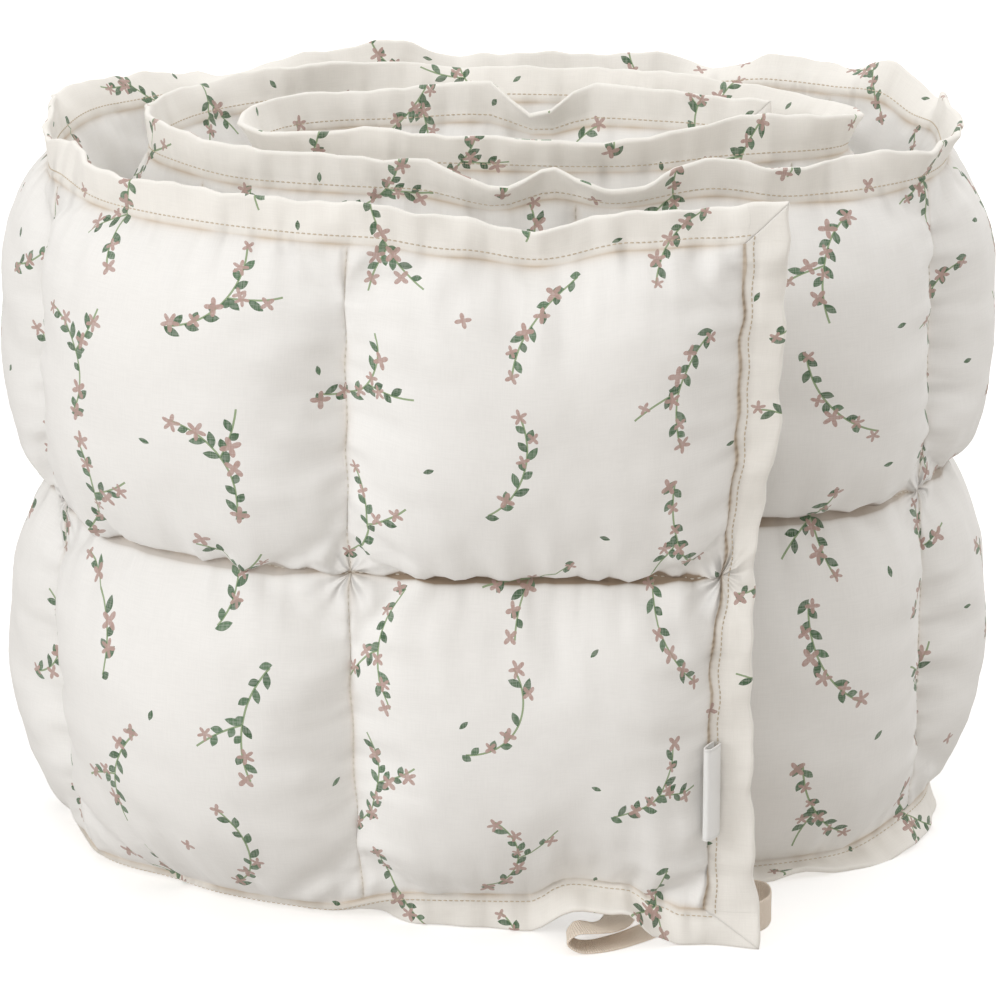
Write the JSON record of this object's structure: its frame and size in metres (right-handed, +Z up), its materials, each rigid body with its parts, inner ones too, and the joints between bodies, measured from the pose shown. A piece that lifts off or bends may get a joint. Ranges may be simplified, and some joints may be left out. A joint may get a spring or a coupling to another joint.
{
  "type": "crib bumper",
  "caption": "Long quilted, filled cotton crib bumper with a flat flange, rolled up and standing on its long edge, with a tape tie and a small side label.",
  "frame": {"origin": "middle of the base, on the surface that the rolled panel stands on", "axes": "+X to the right along the longest extent, +Y to the back, +Z up"},
  "size_m": [0.4076, 0.3228, 0.3064],
  "materials": {
    "printed_cotton": "soft plain-weave cotton, off-white with small sprigs",
    "cotton_tape": "natural ribbed cotton tape",
    "label_tape": "smooth white woven tape, bare"
  },
  "bodies": {
    "root": {"padded_panel": "printed_cotton", "tape_tie": "cotton_tape", "side_label": "label_tape"}
  },
  "joints": []
}
